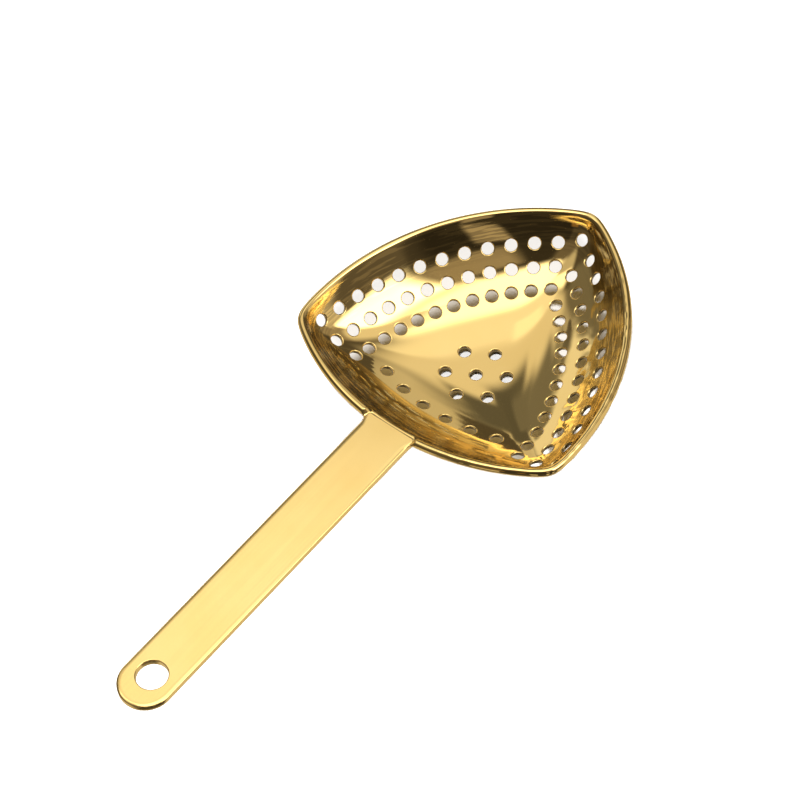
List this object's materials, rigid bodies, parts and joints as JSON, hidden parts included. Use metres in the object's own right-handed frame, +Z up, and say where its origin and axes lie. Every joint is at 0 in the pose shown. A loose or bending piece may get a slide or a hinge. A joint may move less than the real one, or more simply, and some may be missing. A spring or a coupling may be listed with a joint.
{
  "type": "scoop cocktail strainer",
  "caption": "Scoop-type cocktail strainer: perforated three-cornered dished bowl with a rounded rim bead, welded to a flat bar handle with a hanging hole.",
  "frame": {"origin": "bottom centre of the whole object's bounding box; the lowest point of the bowl's floor is at z = 0", "axes": "+X along the handle from its tip towards the bowl's far corner, +Z up out of the bowl's mouth and square to the handle's top face, +Y towards the bowl's side corner on the left when looking along +X; the object is symmetrical about y = 0"},
  "size_m": [0.1702, 0.079, 0.0152],
  "materials": {
    "bowl_metal": "mirror polished gold-coloured metal with faint drawing marks on the walls",
    "handle_metal": "polished gold-coloured metal, slightly softer than the bowl, with fine lengthwise marks",
    "weld_metal": "gold-coloured weld, smoothed but not mirror polished"
  },
  "bodies": {
    "root": {"strainer_bowl": "bowl_metal", "handle": "handle_metal", "weld_fillet": "weld_metal"}
  },
  "joints": []
}
